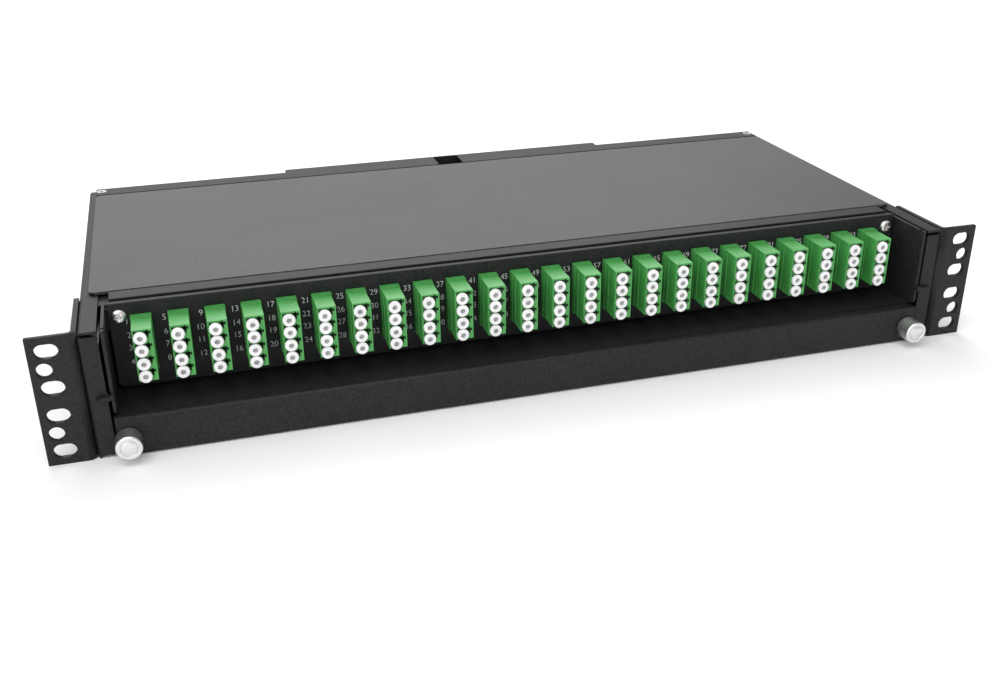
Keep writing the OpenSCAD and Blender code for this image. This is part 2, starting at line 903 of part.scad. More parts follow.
module tray_lids() {
    z0 = tray_z + tray_h + 0.05;
    color("#a9b2b8") centred() both_sides() difference() {
        tray_frame(z0, z0 + lid_t, tray_r, tray_w, tray_d);
        stud_holes();
        block([tray_x - 12, tray_y - tray_d / 2 - 1, z0 - 1], [tray_x + 12, tray_y - tray_d / 2 + 8, z0 + 3]);
    }
}

module tray_nuts() {
    z0 = tray_z + tray_h + lid_t + 0.1;
    color(zinc) centred() both_sides() for (dx = [-1, 1], dy = [-1, 1])
        translate([tray_x + dx * stud_dx, tray_y + dy * stud_dy, z0]) difference() {
            cylinder(r = 4.5, h = 4);
            translate([0, 0, -1]) cylinder(r = 2, h = 6);
        }
}

// A ring that stands on the drawer's floor, open at the top for the fibres
module fibre_guide(x, y) {
    half = 9;
    depth = 6;
    wall = 1.6;
    height = 16;
    mouth = 1.5;
    translate([x, y, tray_z]) difference() {
        block([-half, 0, 0], [half, depth, height]);
        block([-half + wall, -1, wall], [half - wall, depth + 1, height - wall]);
        block([-mouth, -1, height - 2 * wall], [mouth, depth + 1, height + 1]);
    }
}

module fibre_guides() {
    color(white) centred() both_sides() for (x = guide_x) fibre_guide(x, guide_y);
}

// ---- thumbscrews ----

module thumb_knob() {
    r = knob_d / 2;
    edge = 0.6;
    collar_r = 4.5;
    color(nickel) centred() difference() {
        union() {
            rod_y(thumb_x, thumb_z, r, front_y + edge, knob_y);
            translate([thumb_x, front_y, thumb_z]) rotate([-90, 0, 0])
                cylinder(r1 = r - edge, r2 = r, h = edge + eps);
            rod_y(thumb_x, thumb_z, collar_r, knob_y - eps, lip_y - 0.05);
            rod_y(thumb_x, thumb_z, stud_r, knob_y, stud_end);
        }
        difference() {
            rod_y(thumb_x, thumb_z, stud_r + 1, groove_y, groove_y + groove_w);
            rod_y(thumb_x, thumb_z, groove_r, groove_y - 1, groove_y + groove_w + 1);
        }
        difference() {
            rod_y(thumb_x, thumb_z, ring_r + ring_w / 2, front_y - 1, front_y + ring_w);
            rod_y(thumb_x, thumb_z, ring_r - ring_w / 2, front_y - 2, front_y + 1);
        }
    }
}

module thumb_clip() {
    gap = 0.05;
    mouth = 1.2;
    color(zinc) centred() difference() {
        rod_y(thumb_x, thumb_z, clip_r, groove_y + gap, groove_y + groove_w - gap);
        rod_y(thumb_x, thumb_z, groove_r + gap, groove_y - 1, groove_y + 2);
        block([thumb_x - mouth, groove_y - 1, thumb_z - clip_r - 1], [thumb_x + mouth, groove_y + 2, thumb_z]);
    }
}

module lock_nuts() {
    y0 = lock_y + case_t;
    color(zinc) centred() both_sides() difference() {
        union() {
            rod_y(thumb_x, thumb_z, lock_hole_r - 0.02, lock_y, y0 + eps);
            hexagon_y(thumb_x, thumb_z, 8, y0, y0 + 4);
        }
        rod_y(thumb_x, thumb_z, stud_r + 0.05, lock_y - 1, y0 + 5);
    }
}

module thumb_knob_left() {
    on_side(-1) thumb_knob();
}

module thumb_knob_right() {
    on_side(1) thumb_knob();
}

module thumb_clip_left() {
    on_side(-1) thumb_clip();
}

module thumb_clip_right() {
    on_side(1) thumb_clip();
}

// ---- nodes ----

case_shell();
front_crossbar();
top_cover();
rear_panel();
case_screws();
ear_left();
ear_right();
gland_bodies();
gland_nuts();
gland_locknuts();
gland_seals();
cable_grommets();
slide_outer_left();
slide_outer_right();
lock_nuts();
drawer_tray();
adapter_plate();
plate_screws();
adapter(0);  // adapter_01
adapter(1);  // adapter_02
adapter(2);  // adapter_03
adapter(3);  // adapter_04
adapter(4);  // adapter_05
adapter(5);  // adapter_06
adapter(6);  // adapter_07
adapter(7);  // adapter_08
adapter(8);  // adapter_09
adapter(9);  // adapter_10
adapter(10);  // adapter_11
adapter(11);  // adapter_12
adapter(12);  // adapter_13
adapter(13);  // adapter_14
adapter(14);  // adapter_15
adapter(15);  // adapter_16
adapter(16);  // adapter_17
adapter(17);  // adapter_18
adapter(18);  // adapter_19
adapter(19);  // adapter_20
adapter(20);  // adapter_21
adapter(21);  // adapter_22
adapter(22);  // adapter_23
adapter(23);  // adapter_24
dust_caps_front();
dust_caps_rear();
adapter_clips();
slide_inner_left();
slide_inner_right();
splice_tray_left();
splice_tray_right();
tray_lids();
tray_nuts();
fibre_guides();
ball_cage_left();
ball_cage_right();
slide_balls_left();
slide_balls_right();
thumb_knob_left();
thumb_knob_right();
thumb_clip_left();
thumb_clip_right();
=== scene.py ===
import json
from math import cos, hypot, pi, radians, sin

import bmesh
import bpy
from mathutils import Matrix, Vector


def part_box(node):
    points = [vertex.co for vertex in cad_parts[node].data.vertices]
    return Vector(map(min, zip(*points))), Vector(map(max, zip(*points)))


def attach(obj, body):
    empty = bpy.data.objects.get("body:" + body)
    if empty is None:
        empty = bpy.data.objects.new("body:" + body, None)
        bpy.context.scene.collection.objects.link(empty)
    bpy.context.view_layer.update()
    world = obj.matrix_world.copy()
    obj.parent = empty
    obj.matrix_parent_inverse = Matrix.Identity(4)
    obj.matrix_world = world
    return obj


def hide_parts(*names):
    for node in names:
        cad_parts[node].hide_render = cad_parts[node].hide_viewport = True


MM = 0.001

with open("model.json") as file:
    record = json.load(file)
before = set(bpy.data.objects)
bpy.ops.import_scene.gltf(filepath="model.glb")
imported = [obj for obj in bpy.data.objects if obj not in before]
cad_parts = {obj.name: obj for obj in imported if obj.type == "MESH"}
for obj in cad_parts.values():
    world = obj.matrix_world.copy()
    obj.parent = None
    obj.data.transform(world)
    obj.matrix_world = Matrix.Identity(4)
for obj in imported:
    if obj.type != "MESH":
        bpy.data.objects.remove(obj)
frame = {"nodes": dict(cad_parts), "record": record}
NODES = frame["nodes"]
BODIES = frame["record"]["behaviour"]["bodies"]
BODY_OF = {node: body for body, nodes in BODIES.items() for node in nodes}
SLOT_OF = {part["node"]: part["material_slot"] for part in frame["record"]["subparts"]}
ADAPTERS = sorted(node for node in NODES if node.startswith("adapter_") and node[-2:].isdigit())
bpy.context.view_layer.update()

# ---- camera ----

CAMERA_AT = Vector((-168.7, -585.4, 266.7)) * MM
CAMERA_TURN = 16.49  # degrees to the right of +Y
CAMERA_DOWN = 25.44  # degrees below the horizon
CAMERA_ROLL = -0.47  # degrees clockwise
SENSOR_WIDTH = 36  # millimetres, as Blender takes it
LENS_LENGTH = 40.41  # millimetres


def make_camera():
    turn, down, roll = (radians(a) for a in (CAMERA_TURN, CAMERA_DOWN, CAMERA_ROLL))
    ahead = Vector((sin(turn) * cos(down), cos(turn) * cos(down), -sin(down)))
    level = Vector((cos(turn), -sin(turn), 0))
    upright = level.cross(ahead)
    right = cos(roll) * level + sin(roll) * upright
    up = cos(roll) * upright - sin(roll) * level
    data = bpy.data.cameras.new("camera")
    data.sensor_width = SENSOR_WIDTH
    data.lens = LENS_LENGTH
    data.clip_start = 10 * MM
    camera = bpy.data.objects.new("camera", data)
    rotation = Matrix((right, up, -ahead)).transposed().to_4x4()
    camera.matrix_world = Matrix.Translation(CAMERA_AT) @ rotation
    bpy.context.scene.collection.objects.link(camera)
    bpy.context.scene.camera = camera


make_camera()

# ---- materials ----


class Surface:
    """A Principled material whose colour, roughness and relief follow noise in object space."""

    def __init__(self, name, metallic=0.0, specular=0.5):
        self.material = bpy.data.materials.new(name)
        self.material.use_nodes = True
        self.tree = self.material.node_tree
        self.shader = self.tree.nodes["Principled BSDF"]
        self.shader.inputs["Metallic"].default_value = metallic
        self.shader.inputs["Specular IOR Level"].default_value = specular
        self.place = self.tree.nodes.new("ShaderNodeTexCoord").outputs["Object"]

    def link(self, output, target):
        self.tree.links.new(output, target)

    def stretched(self, scale):
        """Object coordinates scaled by a different factor along each axis."""
        mapping = self.tree.nodes.new("ShaderNodeMapping")
        mapping.inputs["Scale"].default_value = scale
        self.link(self.place, mapping.inputs["Vector"])
        return mapping.outputs["Vector"]

    def noise(self, size, detail=2.0, place=None):
        """Noise from 0 to 1 with patches of about that size in metres."""
        node = self.tree.nodes.new("ShaderNodeTexNoise")
        node.inputs["Scale"].default_value = 1 / size
        node.inputs["Detail"].default_value = detail
        self.link(place or self.place, node.inputs["Vector"])
        return node.outputs["Fac"]

    def cells(self, size):
        """Distance to the nearest of points that are about that far apart in metres."""
        node = self.tree.nodes.new("ShaderNodeTexVoronoi")
        node.inputs["Scale"].default_value = 1 / size
        self.link(self.place, node.inputs["Vector"])
        return node.outputs["Distance"]

    def ramp(self, factor, *stops):
        """A colour or a grey level at each position, as (position, colour or number)."""
        node = self.tree.nodes.new("ShaderNodeValToRGB")
        elements = node.color_ramp.elements
        while len(elements) < len(stops):
            elements.new(0.5)
        for element, (position, value) in zip(elements, stops):
            element.position = position
            element.color = (*value, 1) if hasattr(value, "__len__") else (value, value, value, 1)
        self.link(factor, node.inputs["Fac"])
        return node.outputs["Color"]

    def mix(self, factor, first, second, blend="MIX"):
        node = self.tree.nodes.new("ShaderNodeMix")
        node.data_type = "RGBA"
        node.blend_type = blend
        if hasattr(factor, "links"):
            self.link(factor, node.inputs["Factor"])
        else:
            node.inputs["Factor"].default_value = factor
        for value, target in ((first, node.inputs["A"]), (second, node.inputs["B"])):
            if hasattr(value, "links"):
                self.link(value, target)
            else:
                target.default_value = (*value, 1)
        return node.outputs["Result"]

    def relief(self, height, depth, strength=1.0):
        """Bump of that height in metres, added to the bump that is there."""
        node = self.tree.nodes.new("ShaderNodeBump")
        node.inputs["Strength"].default_value = strength
        node.inputs["Distance"].default_value = depth
        self.link(height, node.inputs["Height"])
        if self.shader.inputs["Normal"].links:
            self.link(self.shader.inputs["Normal"].links[0].from_socket, node.inputs["Normal"])
        self.link(node.outputs["Normal"], self.shader.inputs["Normal"])

    def colour(self, output):
        self.link(output, self.shader.inputs["Base Color"])

    def roughness(self, output):
        self.link(output, self.shader.inputs["Roughness"])


def tint(colour, factor):
    return tuple(channel * factor for channel in colour)


POWDER_GRAIN = 1.1 * MM
POWDER_CLOUDS = 60 * MM
POWDER_SPECKS = 7 * MM
POWDER_PEEL = 0.55 * MM
POWDER_WAVES = 2.4 * MM


def powder_coat(name, colour, gloss, specular):
    """Fine-textured powder coat: an orange-peel relief, slight mottling, and a few pale specks."""
    surface = Surface(name, specular=specular)
    grain = surface.noise(POWDER_GRAIN, 3)
    clouds = surface.noise(POWDER_CLOUDS, 2)
    paint = surface.ramp(grain, (0.3, tint(colour, 0.55)), (0.7, tint(colour, 1.5)))
    paint = surface.mix(0.5, paint, surface.ramp(clouds, (0.3, 0.75), (0.7, 1.0)), "MULTIPLY")
    speck = surface.ramp(surface.cells(POWDER_SPECKS), (0.025, 1.0), (0.05, 0.0))
    paint = surface.mix(speck, paint, tint(colour, 5))
    surface.colour(paint)
    surface.roughness(surface.ramp(grain, (0.25, gloss - 0.07), (0.75, gloss + 0.1)))
    surface.relief(surface.noise(POWDER_PEEL, 2), 0.05 * MM, 0.55)
    surface.relief(surface.noise(POWDER_WAVES, 1), 0.04 * MM, 0.35)
    return surface.material


FLOW_CLOUDS = 6 * MM
SHEEN_PATCHES = 1.2 * MM


def moulded(name, colour, gloss, grain=0.35 * MM):
    """Moulded plastic: even colour with faint flow clouds and a fine grain."""
    surface = Surface(name)
    clouds = surface.noise(FLOW_CLOUDS, 3)
    surface.colour(surface.ramp(clouds, (0.3, tint(colour, 0.88)), (0.7, tint(colour, 1.08))))
    patches = surface.noise(SHEEN_PATCHES)
    surface.roughness(surface.ramp(patches, (0.3, gloss - 0.05), (0.7, gloss + 0.07)))
    surface.relief(surface.noise(grain, 2), 0.02 * MM, 0.4)
    return surface.material


STREAK_WIDTH = 0.5 * MM


def plated(name, colour, gloss, streak=(1, 1, 1), spangle=3 * MM, contrast=1.0):
    """Plated metal: cloudy spangles, and fine streaks that are long where streak is small."""
    surface = Surface(name, metallic=1.0)
    clouds = surface.noise(spangle, 3)
    streaks = surface.noise(STREAK_WIDTH, 2, surface.stretched(streak))
    tone = surface.ramp(clouds, (0.3, tint(colour, 1 - 0.18 * contrast)), (0.7, colour))
    shade = surface.ramp(streaks, (0.3, 0.7), (0.7, 1.0))
    surface.colour(surface.mix(0.35 * contrast, tone, shade, "MULTIPLY"))
    smooth, rough = gloss - 0.06 * contrast, gloss + 0.1 * contrast
    surface.roughness(surface.ramp(streaks, (0.3, smooth), (0.7, rough)))
    surface.relief(streaks, 0.015 * MM, 0.5 * contrast)
    return surface.material


DUST_CLOUDS = 4 * MM
RUBBER_GRAIN = 0.4 * MM


def soft_rubber(name, colour):
    """Dull rubber with a little dust on it."""
    surface = Surface(name, specular=0.3)
    dust = surface.noise(DUST_CLOUDS, 4)
    surface.colour(surface.ramp(dust, (0.35, colour), (0.75, tint(colour, 1.9))))
    surface.roughness(surface.ramp(dust, (0.3, 0.6), (0.7, 0.8)))
    surface.relief(surface.noise(RUBBER_GRAIN, 3), 0.03 * MM, 0.5)
    return surface.material


INK_PATCHES = 0.5 * MM


def printed_ink(name, colour):
    """Screen-printed ink: thin in places, so the paint below dims it."""
    surface = Surface(name, specular=0.3)
    cover = surface.noise(INK_PATCHES, 3)
    surface.colour(surface.ramp(cover, (0.35, tint(colour, 0.55)), (0.55, colour)))
    surface.roughness(surface.ramp(cover, (0.3, 0.7), (0.7, 0.55)))
    return surface.material


MATERIALS = {
    "case_powder": powder_coat("black_powder_coat", (0.017, 0.0172, 0.018), 0.5, 0.23),
    # The cover's paint is a little lighter than the case's, and its lighter base colour also paints in
    # the sheen of the lit top.
    "cover_powder": powder_coat("grey_powder_coat_and_painted_sheen", (0.066, 0.067, 0.069), 0.53, 0.34),
    "zinc_steel": plated("zinc_plate", (0.62, 0.63, 0.65), 0.32, streak=(1, 0.04, 1)),
    "nickel_plate": plated("nickel_plate", (0.86, 0.85, 0.84), 0.3, spangle=2 * MM, contrast=0.3),
    "bearing_steel": plated("bearing_steel", (0.75, 0.75, 0.77), 0.14),
    "adapter_green": moulded("green_plastic", (0.07, 0.355, 0.078), 0.4),
    "cap_white": moulded("white_plastic", (0.86, 0.86, 0.865), 0.42),
    "tray_plastic": moulded("tray_plastic", (0.13, 0.14, 0.15), 0.5, grain=0.6 * MM),
    "lid_plastic": moulded("lid_plastic", (0.36, 0.4, 0.43), 0.2, grain=1.5 * MM),
    "gland_plastic": moulded("gland_plastic", (0.016, 0.016, 0.018), 0.5, grain=0.5 * MM),
    "seal_rubber": soft_rubber("seal_rubber", (0.022, 0.022, 0.023)),
}
# Painted shade: a dark green for the faces deep inside the adapters' ports.
PORT_PAINTED_SHADE = moulded("port_painted_shade", (0.014, 0.07, 0.02), 0.6)
# Painted shade: a greyer white for the faces deep in the caps' dimples.
CAP_DIMPLE_SHADE = moulded("cap_dimple_painted_shade", (0.62, 0.62, 0.63), 0.6)
INK = printed_ink("white_ink", (0.8, 0.8, 0.8))

for node, thing in NODES.items():
    thing.data.materials.clear()
    thing.data.materials.append(MATERIALS[SLOT_OF[node]])

# ---- mesh helpers ----

MERGE_WITHIN = 0.01 * MM
SOLID_MERGE_WITHIN = 0.002 * MM
FLAT_WITHIN = radians(0.3)
FOLD_ANGLE = radians(140)  # faces that turn more than this have folded over
ROUND_SHARES = (1, 0.8, 0.6, 0.4)  # of the wanted width, tried until nothing folds


def with_flat_faces(mesh):
    """The same mesh with doubled corners merged and triangles joined into flat faces."""
    bmesh.ops.remove_doubles(mesh, verts=mesh.verts, dist=MERGE_WITHIN)
    bmesh.ops.dissolve_limit(mesh, angle_limit=FLAT_WITHIN, verts=mesh.verts, edges=mesh.edges)
    return mesh


def cad_mesh(node):
    """The CAD node's shape as an editable mesh."""
    mesh = bmesh.new()
    mesh.from_mesh(NODES[node].data)
    return with_flat_faces(mesh)


def edge_middle(edge):
    return (edge.verts[0].co + edge.verts[1].co) / 2


def is_sharper(edge, angle):
    return len(edge.link_faces) == 2 and edge.calc_face_angle() > angle


def is_crowded(edge, sharp, width):
    """Whether a sharp edge of the same face runs so near beside this one that their roundings meet."""
    middle = edge_middle(edge)
    along = (edge.verts[1].co - edge.verts[0].co).normalized()
    for face in edge.link_faces:
        for other in face.edges:
            if other is edge or other not in sharp or set(other.verts) & set(edge.verts):
                continue
            start, way = other.verts[0].co, other.verts[1].co - other.verts[0].co
            share = min(1, max(0, (middle - start).dot(way) / way.length_squared))
            offset = start + share * way - middle
            if offset.length < 2.1 * width and abs(offset.dot(along)) < 0.5 * offset.length:
                return True
    return False


def soften(mesh, width, angle=28, segments=2, wanted=lambda edge: True):
    """Rounds each wanted edge that is sharper than angle degrees, long enough, and has room for it."""
    sharp = {e for e in mesh.edges if is_sharper(e, radians(angle))}
    longer = [e for e in sharp if e.calc_length() > 2.5 * width and wanted(e)]
    rounded = [e for e in longer if not is_crowded(e, sharp, width)]
    bmesh.ops.bevel(
        mesh, geom=rounded, offset=width, offset_type="OFFSET", segments=segments, profile=0.5,
        affect="EDGES", clamp_overlap=False, loop_slide=True,
    )


def softened_node(node, width, segments=2):
    """A CAD node's mesh with edges rounded by width millimetres, or by less where faces would fold."""
    best = None
    for share in ROUND_SHARES:
        mesh = cad_mesh(node)
        soften(mesh, width * share * MM, segments=segments)
        folds = sum(1 for e in mesh.edges if is_sharper(e, FOLD_ANGLE))
        if best is None or folds < best[0]:
            if best:
                best[1].free()
            best = (folds, mesh)
        else:
            mesh.free()
        if folds == 0:
            break
    return best[1]


def add_piece(name, mesh, body, slot, at=(0, 0, 0), replaces=(), material=None):
    """Makes an object that rides on a body, of an editable mesh or of another piece's data.

    Its shading is smooth, with flat faces kept flat.
    """
    if isinstance(mesh, bmesh.types.BMesh):
        data = bpy.data.meshes.new(name)
        mesh.to_mesh(data)
        mesh.free()
        data.shade_smooth()
        data.materials.append(material or MATERIALS[slot])
    else:
        data = mesh
    thing = bpy.data.objects.new(name, data)
    bpy.context.scene.collection.objects.link(thing)
    thing.location = at
    normals = thing.modifiers.new("normals", "WEIGHTED_NORMAL")
    normals.weight = 100
    normals.keep_sharp = True
    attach(thing, body)
    if replaces:
        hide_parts(*replaces)
    return thing


def finish_node(node, width, segments=2):
    """Stands a copy of a CAD node with rounded edges in the node's place."""
    mesh = softened_node(node, width, segments)
    return add_piece(f"{node}_finish", mesh, BODY_OF[node], SLOT_OF[node], replaces=(node,))


def solids_of(node):
    """(lowest corner, highest corner) of each separate solid of a CAD node, from left to right."""
    mesh = bmesh.new()
    mesh.from_mesh(NODES[node].data)
    bmesh.ops.remove_doubles(mesh, verts=mesh.verts, dist=SOLID_MERGE_WITHIN)
    seen = set()
    boxes = []
    for start in mesh.verts:
        if start in seen:
            continue
        seen.add(start)
        group = [start]
        for vert in group:
            for edge in vert.link_edges:
                other = edge.other_vert(vert)
                if other not in seen:
                    seen.add(other)
                    group.append(other)
        corners = [[pick(v.co[axis] for v in group) for axis in range(3)] for pick in (min, max)]
        boxes.append(tuple(Vector(corner) for corner in corners))
    mesh.free()
    return sorted(boxes, key=lambda box: (round(box[0].x, 5), box[0].y, box[0].z))


def face_centre(low, high, front=-1):
    """Middle of a box's front face, or of its back face where front is 1."""
    return Vector(((low.x + high.x) / 2, low.y if front < 0 else high.y, (low.z + high.z) / 2))


def lathe(mesh, profile, centre, steps, front=-1):
    """Turns a (radius, depth) outline around the Y axis at centre.

    Depth runs towards +Y where front is -1, and towards -Y where it is 1.
    """
    rings = []
    for radius, depth in profile:
        y = centre.y - front * depth
        angles = [2 * pi * i / steps for i in range(steps)] if radius else [0]
        places = [(centre.x + radius * cos(a), y, centre.z + radius * sin(a)) for a in angles]
        rings.append([mesh.verts.new(place) for place in places])
    for near, far in zip(rings, rings[1:]):
        for i in range(steps):
            j = (i + 1) % steps
            corners = [near[i % len(near)], near[j % len(near)], far[j % len(far)], far[i % len(far)]]
            corners = [v for k, v in enumerate(corners) if v not in corners[:k]]
            mesh.faces.new(corners if front < 0 else corners[::-1])


def arc(centre, radius, first, last, steps):
    """Points (radius, depth) on an arc, from one angle to another in degrees."""
    turns = [radians(first + (last - first) * i / steps) for i in range(steps + 1)]
    return [(centre[0] + radius * cos(t), centre[1] + radius * sin(t)) for t in turns]


# ---- sheet metal ----

for node, width in (
    ("case_shell", 0.3), ("front_crossbar", 0.4), ("top_cover", 0.4), ("rear_panel", 0.35),
    ("ear_left", 0.35), ("ear_right", 0.35), ("drawer_tray", 0.3), ("adapter_plate", 0.5),
):
    finish_node(node, width, 3)

# ---- fasteners, slides, trays and cable entries ----

for node, width in (
    ("case_screws", 0.06), ("lock_nuts", 0.2), ("adapter_clips", 0.08), ("tray_nuts", 0.25),
    ("thumb_clip_left", 0.12), ("thumb_clip_right", 0.12),
    ("slide_outer_left", 0.2), ("slide_outer_right", 0.2),
    ("slide_inner_left", 0.2), ("slide_inner_right", 0.2),
    ("ball_cage_left", 0.08), ("ball_cage_right", 0.08),
    ("gland_bodies", 0.35), ("gland_nuts", 0.5), ("gland_locknuts", 0.4), ("gland_seals", 0.4),
    ("cable_grommets", 0.5),
    ("splice_tray_left", 0.15), ("splice_tray_right", 0.15), ("tray_lids", 0.3), ("fibre_guides", 0.35),
):
    finish_node(node, width)

# ---- adapters ----

ADAPTER_ROUND = 0.12 * MM
ADAPTER_WALL = 0.8 * MM
PORT_SHADE_FROM = 0.3 * MM  # depth in the port where its painted shade starts


def make_adapters():
    """One shared mesh for all adapters, with rounded outer edges and painted shade inside the ports."""
    model = ADAPTERS[0]
    low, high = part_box(model)
    middle, half = (low + high) / 2, (high - low) / 2

    def is_inside(point):
        """Whether the point lies within the side walls, at any depth."""
        return all(abs(point[axis] - middle[axis]) < half[axis] - ADAPTER_WALL for axis in (0, 2))

    def is_outer(edge):
        points = (edge.verts[0].co, edge.verts[1].co, edge_middle(edge))
        return not any(is_inside(point) for point in points)

    mesh = cad_mesh(model)
    soften(mesh, ADAPTER_ROUND, wanted=is_outer)
    front, rear = low.y + PORT_SHADE_FROM, high.y - PORT_SHADE_FROM
    # Faces deep inside the ports get the dark green of painted shade.
    for face in mesh.faces:
        place = face.calc_center_median()
        face.material_index = 1 if is_inside(place) and front < place.y < rear else 0
    slot = SLOT_OF[model]
    first = add_piece(f"{model}_finish", mesh, BODY_OF[model], slot, replaces=(model,))
    first.data.materials.append(PORT_PAINTED_SHADE)
    for node in ADAPTERS[1:]:
        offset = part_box(node)[0] - low
        add_piece(f"{node}_finish", first.data, BODY_OF[node], slot, at=offset, replaces=(node,))


make_adapters()

# ---- dust caps ----

CAP_HEAD = 1.7 * MM
CAP_EDGE = 0.45 * MM
CAP_BACK_EDGE = 0.25 * MM
CAP_STEPS = 28
DIMPLE_R = 1.25 * MM
DIMPLE_FLOOR = 2.1 * MM
DIMPLE_BEND = 0.4 * MM
DIMPLE_LIP = 0.12 * MM
# depth in the dimple where its painted shade starts
DIMPLE_SHADE_FROM = 0.25 * MM
STEM_R = 2.1 * MM
STEM_BORE_R = 1.35 * MM
STEM_BORE_FROM = 2.7 * MM
STEM_CHAMFER = 0.3 * MM


def cap_outline(radius, length):
    """Outline of a cap, from the middle of its dimple over the head to the bore of its stem."""
    outline = [(0, DIMPLE_FLOOR)]
    outline += arc((DIMPLE_R - DIMPLE_BEND, DIMPLE_FLOOR - DIMPLE_BEND), DIMPLE_BEND, 90, 0, 3)
    outline += arc((DIMPLE_R + DIMPLE_LIP, DIMPLE_LIP), DIMPLE_LIP, 180, 270, 3)
    outline += arc((radius - CAP_EDGE, CAP_EDGE), CAP_EDGE, 270, 360, 5)
    outline += arc((radius - CAP_BACK_EDGE, CAP_HEAD - CAP_BACK_EDGE), CAP_BACK_EDGE, 0, 90, 2)
    outline += [(STEM_R, CAP_HEAD), (STEM_R, length - STEM_CHAMFER), (STEM_R - STEM_CHAMFER, length)]
    outline += [(STEM_BORE_R, length), (STEM_BORE_R, STEM_BORE_FROM), (0, STEM_BORE_FROM)]
    return outline


def make_caps(node, front):
    """All caps of one side as one piece. Front is -1 for the front caps, and 1 for the rear ones."""
    mesh = bmesh.new()
    for low, high in solids_of(node):
        centre = face_centre(low, high, front)
        known = len(mesh.faces)
        lathe(mesh, cap_outline((high.x - low.x) / 2, high.y - low.y), centre, CAP_STEPS, front)
        mesh.faces.ensure_lookup_table()
        for face in mesh.faces[known:]:
            place = face.calc_center_median() - centre
            # Faces deep in the dimple get the greyer white of painted shade.
            dimple_shaded = abs(place.y) > DIMPLE_SHADE_FROM and hypot(place.x, place.z) < DIMPLE_R
            face.material_index = 1 if dimple_shaded else 0
    bmesh.ops.recalc_face_normals(mesh, faces=mesh.faces)
    caps = add_piece(f"{node}_finish", mesh, BODY_OF[node], SLOT_OF[node], replaces=(node,))
    caps.data.materials.append(CAP_DIMPLE_SHADE)


make_caps("dust_caps_front", -1)
make_caps("dust_caps_rear", 1)

# ---- screws on the adapter plate ----

CROSS_REACH = 1.8 * MM
CROSS_HALF = 0.4 * MM  # half the width of an arm
CROSS_DEPTH = 1.3 * MM
CROSS_START = -0.5 * MM  # clear of the head's crown
SCREW_SHANK_R = 1.95 * MM
SCREW_HEAD = 2.2 * MM
SCREW_HEAD_EDGE = 0.15 * MM
SCREW_STEPS = 40
# The crown of the head, as shares of the radius and depths in millimetres.
SCREW_CROWN = ((0.45, 0.04), (0.7, 0.22), (0.86, 0.55), (0.96, 1.0), (1, 1.5))


def cross_cutter(centre):
    """A tapered cross that is pressed into a screw's head at centre, pointing along +Y."""
    mesh = bmesh.new()
    outline = [(CROSS_REACH, CROSS_HALF), (CROSS_HALF, CROSS_HALF), (CROSS_HALF, CROSS_REACH)]
    outline = [
        (sx * x, sz * z) for sx, sz in ((1, 1), (-1, 1), (-1, -1), (1, -1))
        for x, z in (outline if sx == sz else outline[::-1])
    ]
    rings = []
    for y, scale in ((CROSS_START, 1.15), (CROSS_DEPTH, 0.5)):
        rings.append([mesh.verts.new(centre + Vector((x * scale, y, z * scale))) for x, z in outline])
    near, far = rings
    mesh.faces.new(near)
    mesh.faces.new(far[::-1])
    for i in range(len(outline)):
        j = (i + 1) % len(outline)
        mesh.faces.new((near[j], near[i], far[i], far[j]))
    bmesh.ops.recalc_face_normals(mesh, faces=mesh.faces)
    return mesh


def cut(mesh, cutters):
    """The mesh with each cutter taken out of it."""
    things = []
    for part in (mesh, *cutters):
        data = bpy.data.meshes.new("cut")
        part.to_mesh(data)
        part.free()
        things.append(bpy.data.objects.new("cut", data))
        bpy.context.scene.collection.objects.link(things[-1])
    for cutter in things[1:]:
        modifier = things[0].modifiers.new("cut", "BOOLEAN")
        modifier.operation = "DIFFERENCE"
        modifier.solver = "EXACT"
        modifier.object = cutter
    graph = bpy.context.evaluated_depsgraph_get()
    result = bmesh.new()
    result.from_mesh(things[0].evaluated_get(graph).to_mesh())
    for thing in things:
        data = thing.data
        bpy.data.objects.remove(thing)
        bpy.data.meshes.remove(data)
    return with_flat_faces(result)


def make_plate_screws():
    node = "plate_screws"
    mesh = bmesh.new()
    crosses = []
    for low, high in solids_of(node):
        centre = face_centre(low, high)
        radius, length = (high.x - low.x) / 2, high.y - low.y
        outline = [(0, 0)] + [(radius * share, depth * MM) for share, depth in SCREW_CROWN]
        outline += [(radius, SCREW_HEAD - SCREW_HEAD_EDGE), (radius - SCREW_HEAD_EDGE, SCREW_HEAD)]
        outline += [(SCREW_SHANK_R, SCREW_HEAD), (SCREW_SHANK_R, length), (0, length)]
        lathe(mesh, outline, centre, SCREW_STEPS)
        crosses.append(cross_cutter(centre))
    bmesh.ops.recalc_face_normals(mesh, faces=mesh.faces)
    mesh = cut(mesh, crosses)
    soften(mesh, 0.07 * MM, 35, 2)
    add_piece(f"{node}_finish", mesh, BODY_OF[node], SLOT_OF[node], replaces=(node,))


make_plate_screws()

# ---- thumbscrews ----

KNOB_LENGTH = 9.8 * MM
KNOB_EDGE = 0.6 * MM
KNOB_COLUMNS = 276
RING_INNER = 3.6 * MM
RING_OUTER = 4 * MM
RING_DEPTH = 0.4 * MM
RING_EDGE = 0.08 * MM
KNURL_TEETH = 46
KNURL_ROWS = 26
KNURL_PITCH = 2.1 * MM
KNURL_DEPTH = 0.3 * MM
KNURL_INSET = 0.1 * MM
KNURL_FRONT_GAP = 0.3 * MM
KNURL_BACK_GAP = 0.7 * MM
BOSS_R = 4.5 * MM
BOSS_LENGTH = 0.45 * MM
STUD_R = 2.4 * MM
STUD_POINT = 0.6 * MM
STUD_GROOVE_R = 1.7 * MM
STUD_GROOVE_WIDTH = 0.8 * MM
STUD_GROOVE_FROM_END = 6.9 * MM


